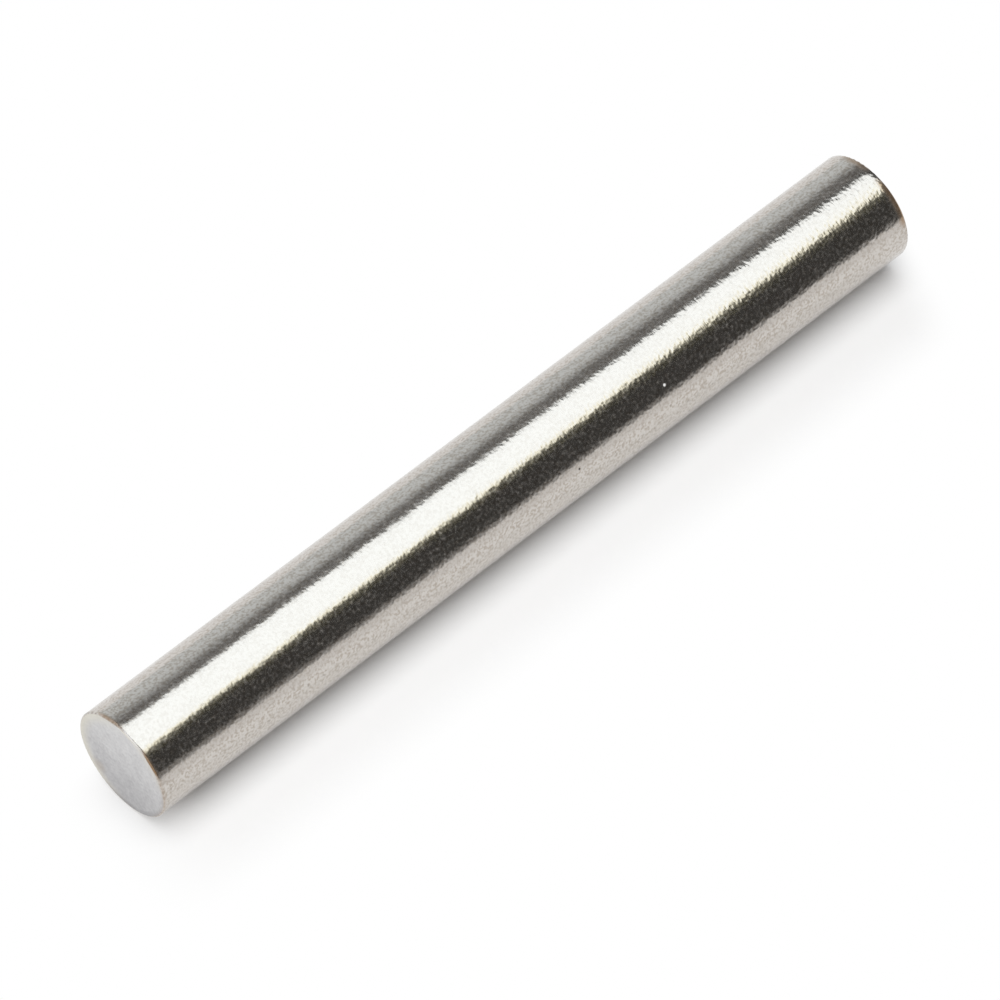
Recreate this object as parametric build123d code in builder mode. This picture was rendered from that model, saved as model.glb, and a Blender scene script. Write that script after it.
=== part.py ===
from build123d import *

import os

# A straight steel shaft, such as serves for an axle, a hinge pin or a dowel.
#
# It is one solid piece: a length cut from a ground bar, with both end faces flat and square to the axis.
# The rim of each face is broken with a small round, so that the shaft enters a bush or a bearing without
# scraping it.  There is no centre hole, groove or flat anywhere on it.
#
# The shaft stands on one end face.  The origin is the centre of that face and +Z runs up the axis.

# Driving dimensions, in millimetres
SHAFT_DIAMETER = 6.0  # over the ground outside
SHAFT_LENGTH = 50.0  # over both end faces
EDGE_BREAK = 0.10  # radius of the round on each rim

os.makedirs("parts", exist_ok=True)

# The ground bar, cut to length, and then the rims that the cuts leave sharp.
with BuildPart() as shaft:
    with BuildSketch(Plane.XY) as bar_section:
        Circle(radius=SHAFT_DIAMETER / 2)
    extrude(amount=SHAFT_LENGTH)
    rims = shaft.edges().filter_by(GeomType.CIRCLE)
    fillet(rims, radius=EDGE_BREAK)

shaft.part.label = "shaft"
export_step(shaft.part, "parts/shaft.step")
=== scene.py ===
import math

import bpy
from mathutils import Matrix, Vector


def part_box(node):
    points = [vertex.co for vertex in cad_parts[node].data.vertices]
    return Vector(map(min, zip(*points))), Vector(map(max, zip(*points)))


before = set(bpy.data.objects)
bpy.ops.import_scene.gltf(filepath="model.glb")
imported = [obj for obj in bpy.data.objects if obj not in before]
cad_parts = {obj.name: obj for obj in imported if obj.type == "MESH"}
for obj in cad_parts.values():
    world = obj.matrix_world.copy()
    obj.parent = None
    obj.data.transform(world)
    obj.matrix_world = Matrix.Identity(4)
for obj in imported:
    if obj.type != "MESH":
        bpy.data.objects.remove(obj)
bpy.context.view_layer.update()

# ---------------------------------------------------------------------------------------------------
# The shaft: one length of steel bar.  The grinding wheel has left a sandy grain on its outside, with
# fine marks that run round it.  The end faces are matt from the cut, and the rims have browned.

MM = 0.001
BRIGHT_STEEL = (0.605, 0.573, 0.537, 1.0)
STAINED_STEEL = (0.445, 0.402, 0.355, 1.0)
PAINTED_BAND_SHADE_STEEL = (0.46, 0.425, 0.39, 1.0)
PITTED_STEEL = (0.30, 0.27, 0.24, 1.0)
CUT_STEEL = (0.710, 0.705, 0.703, 1.0)
CUT_STEEL_DULL_AND_SHADED = (0.440, 0.433, 0.441, 1.0)
CUT_STEEL_PALE = (0.74, 0.71, 0.62, 1.0)
PAINTED_EDGE_SHADE = (0.33, 0.33, 0.34, 1.0)
SMUDGE = (0.42, 0.36, 0.30, 1.0)
GLINT_WHITE = (0.95, 0.95, 0.94, 1.0)
PIT_SHADE = (0.06, 0.055, 0.05, 1.0)
RIM_BROWN = (0.30, 0.185, 0.095, 1.0)
RIM_HIGHLIGHT = (0.86, 0.84, 0.81, 1.0)
GLINT_SIZE = 0.085 * MM
PIT_SHADE_SIZE = 0.065 * MM
GRIT_SIZE = 0.17 * MM
STAIN_SIZE = 0.15 * MM
CLOUD_SIZE = 0.9 * MM

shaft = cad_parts["shaft"]
foot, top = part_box("shaft")
shaft_radius = top.x
shaft_length = top.z - foot.z


class Shade:
    """A socket in a node tree.  Python's own arithmetic on it adds Math nodes to the tree."""

    def __init__(self, tree, socket=None):
        self.tree = tree
        self.socket = socket

    def node(self, kind, settings, inputs, *outputs):
        """Adds a node: its settings, then what its sockets take, then the outputs that are wanted."""
        made = self.tree.nodes.new(kind)
        for name, setting in settings.items():
            setattr(made, name, setting)
        for name, value in inputs.items():
            if isinstance(value, Shade):
                self.tree.links.new(value.socket, made.inputs[name])
            else:
                made.inputs[name].default_value = value
        wanted = [Shade(self.tree, made.outputs[name]) for name in outputs]
        return wanted[0] if len(wanted) == 1 else wanted

    def math(self, operation, first, second=0.0):
        return self.node("ShaderNodeMath", {"operation": operation}, {0: first, 1: second}, 0)

    def __add__(self, other):
        return self.math("ADD", self, other)

    def __sub__(self, other):
        return self.math("SUBTRACT", self, other)

    def __rsub__(self, other):
        return self.math("SUBTRACT", other, self)

    def __mul__(self, other):
        return self.math("MULTIPLY", self, other)

    def __pow__(self, power):
        return self.math("POWER", self, power)

    def __abs__(self):
        return self.math("ABSOLUTE", self)

    def __or__(self, other):
        return self.math("MAXIMUM", self, other)

    __radd__ = __add__
    __rmul__ = __mul__

    def rise(self, low, high):
        """0 below low, 1 above high, and a smooth step between."""
        limits = {"Value": self, "From Min": low, "From Max": high}
        return self.node("ShaderNodeMapRange", {"interpolation_type": "SMOOTHSTEP"}, limits, 0)

    def noise(self, across, along, detail=0.0, roughness=0.5):
        """Noise whose grains measure across in X and Y, and along in Z."""
        scale = (1 / across, 1 / across, 1 / along)
        spacing = {"Vector": self, "Scale": scale}
        spread = self.node("ShaderNodeMapping", {"vector_type": "POINT"}, spacing, 0)
        grain = {"Vector": spread, "Scale": 1.0, "Detail": detail, "Roughness": roughness}
        return self.node("ShaderNodeTexNoise", {"noise_dimensions": "3D"}, grain, 0)

    def blend(self, colour, other):
        """One colour where the mask is 0 and the other where it is 1."""
        return self.node("ShaderNodeMix", {"data_type": "RGBA"}, {0: self, 6: colour, 7: other}, 2)


def fresh_material(name):
    """A material with an empty node tree, and a starting point for its nodes."""
    material = bpy.data.materials.new(name)
    material.use_nodes = True
    material.node_tree.nodes.clear()
    return material, Shade(material.node_tree)


steel, start = fresh_material("ground_steel")
place = start.node("ShaderNodeTexCoord", {}, {}, "Object")
across_x, across_y, height = start.node("ShaderNodeSeparateXYZ", {}, {0: place}, "X", "Y", "Z")
reach = (across_x * across_x + across_y * across_y) ** 0.5
end_gap = shaft_length / 2 - abs(height - shaft_length / 2)
from_corner = end_gap * 1.4 + (shaft_radius - reach)
on_face = 1 - end_gap.rise(0.0005 * MM, 0.006 * MM)
on_side = 1 - on_face


def toward(degrees):
    """1 on the side that lies this far round from -X towards -Y, and -1 opposite."""
    turn = math.radians(degrees)
    return across_x * (-math.cos(turn) / shaft_radius) + across_y * (-math.sin(turn) / shaft_radius)


def mark(degrees, up, size):
    """1 on a small round mark that lies this far round the side and this far up it."""
    turn = math.radians(degrees)
    off_x = across_x + math.cos(turn) * shaft_radius
    off_y = across_y + math.sin(turn) * shaft_radius
    off_z = height - up
    return 1 - ((off_x * off_x + off_y * off_y + off_z * off_z) ** 0.5).rise(size * 0.6, size * 1.2)


# The grain and the marks of the wheel are deeper towards the foot, and each end is rolled off a little.
grit = place.noise(GRIT_SIZE, 0.18 * MM)
lay = place.noise(0.40 * MM, GRIT_SIZE, detail=1.0)
wave = place.noise(1.5 * MM, 3.0 * MM)
depth = 0.0076 - height * (0.0036 / shaft_length)
rolled_off = (1 - end_gap.rise(-0.36 * MM, 0.36 * MM)) * 0.048
relief = (grit + lay) * depth + wave * 0.02 - rolled_off
bump = start.node("ShaderNodeBump", {}, {"Height": relief, "Distance": MM}, 0)

# The ground outside: faint stains, a few pits, and grains that the wheel has left dull.  All of them
# are weaker along the stripe where the softbox's streak lies, which is a painted highlight.  Another
# stripe, along the grey band that mirrors the sheet, is darker as painted shade.
# The stains thin out along the stripe where the streak lies: a painted highlight.
dirt_and_painted_highlight = 1 - toward(73).rise(0.950, 0.978) * 0.75
speck = place.noise(GRIT_SIZE, GRIT_SIZE)
stain = place.noise(STAIN_SIZE, STAIN_SIZE, detail=1.0)
stained = (stain.rise(0.38, 0.70) * dirt_and_painted_highlight).blend(BRIGHT_STEEL, STAINED_STEEL)
pits = place.noise(0.26 * MM, 0.20 * MM).rise(0.78, 0.84) * dirt_and_painted_highlight * 0.5
# A darker stripe along the grey band that mirrors the sheet: painted shade.
painted_band_shade = toward(24.5).rise(0.990, 1.0) * 0.5
ground = painted_band_shade.blend(pits.blend(stained, PITTED_STEEL), PAINTED_BAND_SHADE_STEEL)
dull_grains = (speck.rise(0.42, 0.78) * 0.075 + speck.rise(0.78, 0.84) * 0.12) * dirt_and_painted_highlight
ground_roughness = speck.rise(0.45, 0.85) * 0.05 + 0.145

# The cut faces: cloudy, and darker towards the side that the shaft has lain on, which is painted shade
# from the sheet.  Paler along part of the edge, with a painted highlight where the streak meets it,
# darker along another part next to the sheet as painted shade, and with one faint smudge.
cloud = place.noise(CLOUD_SIZE, CLOUD_SIZE, detail=3.0, roughness=0.6)
# Cloud and stain are the steel's own; the step across Y, darker towards the sheet, is painted shade.
cloud_and_painted_shade = across_y * (0.44 / shaft_radius) + cloud * 0.5 + stain * 0.9 - 0.2
pale_arcs = toward(180).rise(-0.2, 0.7) * 0.8 + toward(45).rise(0.7, 0.95) * 0.4
# The arc by the streak is a painted highlight; the other pale arcs are paler edge.
pale_arcs = pale_arcs | toward(78).rise(0.90, 0.98)
pale_edge_with_painted_highlight = reach.rise(0.72 * shaft_radius, shaft_radius) * pale_arcs
cut = pale_edge_with_painted_highlight.blend(cloud_and_painted_shade.rise(-0.3, 1.3).blend(CUT_STEEL, CUT_STEEL_DULL_AND_SHADED), CUT_STEEL_PALE)
# A darker ring at the face's edge next to the sheet: painted shade.
painted_edge_shade = reach.rise(0.86 * shaft_radius, 0.93 * shaft_radius) * toward(290).rise(0.55, 0.90) * 0.38
smudge_place = 0.55 * shaft_radius
smudge_x = across_x - smudge_place
smudge_y = across_y - smudge_place
from_smudge = (smudge_x * smudge_x + smudge_y * smudge_y) ** 0.5
smudged = (1 - from_smudge.rise(0.1 * MM, 0.6 * MM)) * 0.45
cut = smudged.blend(painted_edge_shade.blend(cut, PAINTED_EDGE_SHADE), SMUDGE)
cut_roughness = cloud * 0.2 + 0.42

# The rims: brown where they were broken, on two long arcs and faintly on two more, and pale between
# the long ones where the streak reaches them, which is a painted highlight.  At the foot the brown
# reaches a little way up the side.
long_arcs = toward(45).rise(0.95, 0.985) + toward(105).rise(0.93, 0.995) * 0.9
faint_arcs = toward(-5).rise(0.6, 0.9) * 0.25 + toward(262).rise(0.80, 0.92) * 0.2
foot_arcs = toward(46).rise(0.84, 0.96) * 0.8 + toward(103).rise(0.93, 0.99) * 0.6
foot_arcs = foot_arcs * (1 - height.rise(0.15 * MM, 0.50 * MM)) * on_side
browned = (1 - from_corner.rise(0.02 * MM, 0.32 * MM)) * (long_arcs + faint_arcs) | foot_arcs
# Pale on the rim where the streak reaches it: a painted highlight.
painted_rim_highlight = (1 - from_corner.rise(0.06 * MM, 0.14 * MM)) * toward(74).rise(0.955, 0.985)

# A white fleck that is a painted glint, and a black pit whose darkness is painted shade, on the
# outside, and then the whole finish.
painted_glint = mark(39.3, 0.328 * shaft_length, GLINT_SIZE)
# The black of the pit is painted shade.
pit_shade = mark(22.3, 0.452 * shaft_length, PIT_SHADE_SIZE)
colour = browned.blend(painted_rim_highlight.blend(on_face.blend(ground, cut), RIM_HIGHLIGHT), RIM_BROWN)
colour = painted_glint.blend(pit_shade.blend(colour, PIT_SHADE), GLINT_WHITE)
metallic = (1 - dull_grains * on_side - browned * 0.33) * (1 - painted_glint)
roughness = ground_roughness * on_side + cut_roughness * on_face
finish = {"Base Color": colour, "Metallic": metallic, "Roughness": roughness, "Normal": bump}
surface = start.node("ShaderNodeBsdfPrincipled", {}, finish, 0)
start.node("ShaderNodeOutputMaterial", {}, {"Surface": surface})
shaft.material_slots[0].material = steel

# ---------------------------------------------------------------------------------------------------
# The sheet: plain white paper that touches the shaft along its side.  Away from the shaft's own shadow it
# is even white, though the steel mirrors its far end as dim.  From behind it is clear, so that the shaft
# can be looked at from all round.

SHEET_WHITE = (0.95, 0.95, 0.95, 1.0)
SHEET_GREY = (0.45, 0.45, 0.45, 1.0)
SHEET_REACH = 3.0


def stage_piece(name, corners, faces, material):
    """A piece of the studio, from its corners and faces."""
    mesh = bpy.data.meshes.new(name)
    mesh.from_pydata(corners, [], faces)
    mesh.materials.append(material)
    piece = bpy.data.objects.new(name, mesh)
    bpy.context.scene.collection.objects.link(piece)
    return piece


def light_path(start):
    """Masks for what the camera sees straight, what it sees by gloss or through glass, and either."""
    kinds = ("Is Camera Ray", "Is Glossy Ray", "Is Transmission Ray")
    straight, mirrored, through = start.node("ShaderNodeLightPath", {}, {}, *kinds)
    return straight, straight | mirrored | through


paper, start = fresh_material("white_paper")
spot = start.node("ShaderNodeTexCoord", {}, {}, "Object")
sideways, along = start.node("ShaderNodeSeparateXYZ", {}, {0: spot}, "X", "Z")
straight, looked_at = light_path(start)
in_shadow = sideways.rise(-8.0 * MM, -4.5 * MM) * (1 - sideways.rise(0, shaft_radius))
below = (along + sideways * 0.4).rise(foot.z - 2.7 * MM, foot.z + 0.2 * MM)
above = along.rise(top.z - 3.5 * MM, top.z + 3.5 * MM)
in_shadow = in_shadow * below * (1 - above)
lit_end = sideways.rise(-80 * MM, -32 * MM)
tone = lit_end.blend(SHEET_GREY, SHEET_WHITE)
matt = start.node("ShaderNodeBsdfDiffuse", {}, {"Color": tone}, 0)
white = start.node("ShaderNodeEmission", {}, {"Color": (1, 1, 1, 1), "Strength": 1.0}, 0)
blank = (1 - in_shadow) * (lit_end | straight) * looked_at
front = start.node("ShaderNodeMixShader", {}, {0: blank, 1: matt, 2: white}, 0)
behind = start.node("ShaderNodeNewGeometry", {}, {}, "Backfacing")
clear = start.node("ShaderNodeBsdfTransparent", {}, {}, 0)
either = start.node("ShaderNodeMixShader", {}, {0: straight * behind, 1: front, 2: clear}, 0)
start.node("ShaderNodeOutputMaterial", {}, {"Surface": either})
paper.cycles.emission_sampling = "NONE"
left, right = -SHEET_REACH, SHEET_REACH
sheet_edges = ((left, left), (right, left), (right, right), (left, right))
stage_piece("sheet", [(x, shaft_radius, z) for x, z in sheet_edges], [(0, 1, 2, 3)], paper)

# ---------------------------------------------------------------------------------------------------
# The softbox: a round lamp with a cloth front, hung over the middle of the shaft.  It makes the long
# white streak.  On one side its cloth is warm and shaded at the edge, and a dim skirt goes round it.

SOFTBOX_HEIGHT = 0.30
SOFTBOX_RADIUS = 0.194
SOFTBOX_GLOW = 1.785
SOFTBOX_PLACE = (-0.0275, -SOFTBOX_HEIGHT, -0.026)
RING_STEP = 4
SKIRT_RADIUS = 0.30
SKIRT_GLOW = 0.12
WALL_LEVEL = 0.065
CLOTH_COOL = (0.907, 0.962, 0.990, 1.0)
CLOTH_WARM = (1.0, 0.97, 0.75, 1.0)


def glow(start, material, colour, strength=1.0):
    """Makes a material shine evenly, but only in what mirrors it."""
    shine = start.node("ShaderNodeEmission", {}, {"Color": colour, "Strength": strength}, 0)
    start.node("ShaderNodeOutputMaterial", {}, {"Surface": shine})
    material.cycles.emission_sampling = "NONE"


def hung_piece(name, corners, faces, material):
    """A piece of the studio that the shaft mirrors, and that neither lights nor shades the sheet."""
    piece = stage_piece(name, corners, faces, material)
    piece.visible_camera = False
    piece.visible_diffuse = False
    piece.visible_shadow = False
    return piece


softbox_cloth, start = fresh_material("softbox_cloth")
spot = start.node("ShaderNodeTexCoord", {}, {}, "Object")
spot_x, spot_z = start.node("ShaderNodeSeparateXYZ", {}, {0: spot}, "X", "Z")
from_middle = (spot_x * spot_x + spot_z * spot_z) ** 0.5
framed_side = 1 - spot_x.rise(-0.04, 0.04)
warmth = from_middle.rise(SOFTBOX_RADIUS * 0.70, SOFTBOX_RADIUS) * framed_side
fade = 1 - from_middle.rise(SOFTBOX_RADIUS * 0.94, SOFTBOX_RADIUS * 1.02) * framed_side
glow(start, softbox_cloth, warmth.blend(CLOTH_COOL, CLOTH_WARM), fade * SOFTBOX_GLOW)
ring = [math.radians(turn) for turn in range(0, 360, RING_STEP)]
cloth_edge = [(SOFTBOX_RADIUS * math.cos(turn), 0.0, SOFTBOX_RADIUS * math.sin(turn)) for turn in ring]
softbox = hung_piece("softbox", cloth_edge, [tuple(range(len(ring)))], softbox_cloth)
softbox.location = SOFTBOX_PLACE

skirt_cloth, start = fresh_material("skirt_cloth")
spot = start.node("ShaderNodeTexCoord", {}, {}, "Object")
spot_x, spot_z = start.node("ShaderNodeSeparateXYZ", {}, {0: spot}, "X", "Z")
from_middle = (spot_x * spot_x + spot_z * spot_z) ** 0.5
dimming = 1 - from_middle.rise(SOFTBOX_RADIUS * 0.8, SKIRT_RADIUS)
glow(start, skirt_cloth, CLOTH_WARM, dimming * SKIRT_GLOW + WALL_LEVEL)
half_turn = [math.radians(turn) for turn in range(92, 272, RING_STEP)]
inner = [(SOFTBOX_RADIUS * math.cos(turn), 0.0, SOFTBOX_RADIUS * math.sin(turn)) for turn in half_turn]
outer = [(SKIRT_RADIUS * math.cos(turn), 0.0, SKIRT_RADIUS * math.sin(turn)) for turn in half_turn]
count = len(half_turn)
strips = [(step, step + 1, count + step + 1, count + step) for step in range(count - 1)]
skirt = hung_piece("softbox_skirt", inner + outer, strips, skirt_cloth)
skirt.location = SOFTBOX_PLACE

# ---------------------------------------------------------------------------------------------------
# The cards and the walls: plain boards round the shaft, and the dark room behind them.  The steel mirrors
# them as its grey bands and its dark ones.  The back card is a cloth that darkens towards its free edge.

WALL_DARK = (0.066, 0.065, 0.063, 1)
ROOM_SIDE = 2.5
ROOM_DEPTH = 2.4
BACK_DARK = (0.21, 0.21, 0.21, 1)
BACK_PALE = (0.77, 0.81, 0.83, 1)
BACK_PLACE = 0.50
BACK_HALF = 1.0
BACK_DROP = -0.95
FRONT_PALE = (0.90, 0.90, 0.92, 1)
FRONT_PLACE = 0.32
FRONT_FROM, FRONT_TO = -0.6, 0.48
FRONT_DROP = -0.5
SIDE_GREY = (0.30, 0.29, 0.28, 1)
SIDE_PLACE = -2.45

walls, start = fresh_material("dark_walls")
glow(start, walls, WALL_DARK)
sides = (-ROOM_SIDE, ROOM_SIDE)
ROOM_CORNERS = [(x, y, z) for x in sides for y in (shaft_radius, -ROOM_DEPTH) for z in sides]
ROOM_FACES = [(0, 1, 3, 2), (4, 5, 7, 6), (2, 3, 7, 6), (0, 2, 6, 4), (1, 3, 7, 5)]
hung_piece("room", ROOM_CORNERS, ROOM_FACES, walls)

back_cloth, start = fresh_material("back_cloth")
spot = start.node("ShaderNodeTexCoord", {}, {}, "Object")
drop = start.node("ShaderNodeSeparateXYZ", {}, {0: spot}, "Y")
glow(start, back_cloth, drop.rise(-0.596, -0.162).blend(BACK_DARK, BACK_PALE))
back_top = ((shaft_radius, -BACK_HALF), (shaft_radius, BACK_HALF))
back_edges = back_top + ((BACK_DROP, BACK_HALF), (BACK_DROP, -BACK_HALF))
hung_piece("back_card", [(BACK_PLACE, y, z) for y, z in back_edges], [(0, 1, 2, 3)], back_cloth)

front_board, start = fresh_material("front_board")
glow(start, front_board, FRONT_PALE)
front_top = ((FRONT_FROM, shaft_radius), (FRONT_TO, shaft_radius))
front_edges = front_top + ((FRONT_TO, FRONT_DROP), (FRONT_FROM, FRONT_DROP))
hung_piece("front_card", [(x, y, FRONT_PLACE) for x, y in front_edges], [(0, 1, 2, 3)], front_board)

side_board, start = fresh_material("side_board")
glow(start, side_board, SIDE_GREY)
side_edges = ((shaft_radius, -0.5), (-0.40, -0.5), (-0.02, -1.4), (shaft_radius, -1.4))
hung_piece("side_card", [(SIDE_PLACE, y, z) for y, z in side_edges], [(0, 1, 2, 3)], side_board)

# ---------------------------------------------------------------------------------------------------
# The lamp and the air: the round lamp over the sheet lights it and the dull part of the steel, and the
# air adds an even level from all round.  To the camera, and in gloss, the air is white.

LAMP_RADIUS = 0.16
LAMP_LEVEL = 3.8
LAMP_PLACE = (-0.065, -SOFTBOX_HEIGHT, 0.07)
AIR_LEVEL = 0.18

lamp_data = bpy.data.lights.new("sheet_lamp", "AREA")
lamp_data.shape = "DISK"
lamp_data.size = 2 * LAMP_RADIUS
lamp_data.energy = LAMP_LEVEL * math.pi * math.pi * LAMP_RADIUS**2
lamp = bpy.data.objects.new("sheet_lamp", lamp_data)
bpy.context.scene.collection.objects.link(lamp)
lamp.location = LAMP_PLACE
lamp.rotation_euler = (math.pi / 2, 0, 0)
lamp.visible_camera = False
lamp.visible_glossy = False

studio = bpy.data.worlds.new("studio")
studio.use_nodes = True
studio.node_tree.nodes.clear()
start = Shade(studio.node_tree)
straight, looked_at = light_path(start)
level = looked_at * (1 - AIR_LEVEL) + AIR_LEVEL
air = start.node("ShaderNodeBackground", {}, {"Color": (1, 1, 1, 1), "Strength": level}, 0)
start.node("ShaderNodeOutputWorld", {}, {"Surface": air})
bpy.context.scene.world = studio

# ---------------------------------------------------------------------------------------------------
# The camera: a long lens a short way off, above the shaft's upper end and rolled, so that the standing
# shaft runs across the view from the lower left to the upper right.

LENS = 279.83
SENSOR = 36.0
CAMERA_ROUND = -29.356
CAMERA_UP = 25.084
CAMERA_ROLL = -127.007
CAMERA_OFFSET = (-0.202 * MM, -1.083 * MM, 378.076 * MM)

camera_data = bpy.data.cameras.new("camera")
camera_data.lens = LENS
camera_data.sensor_width = SENSOR
camera_data.clip_start = 0.01
camera_data.clip_end = 50.0
camera = bpy.data.objects.new("camera", camera_data)
bpy.context.scene.collection.objects.link(camera)
round_shaft = Matrix.Rotation(math.radians(CAMERA_ROUND), 4, "Z")
tilt = Matrix.Rotation(math.radians(90 - CAMERA_UP), 4, "X")
roll = Matrix.Rotation(math.radians(CAMERA_ROLL), 4, "Z")
middle = Matrix.Translation((0, 0, foot.z + shaft_length / 2))
camera.matrix_world = middle @ round_shaft @ tilt @ roll @ Matrix.Translation(CAMERA_OFFSET)
bpy.context.scene.camera = camera
bpy.context.scene.view_settings.view_transform = "Standard"
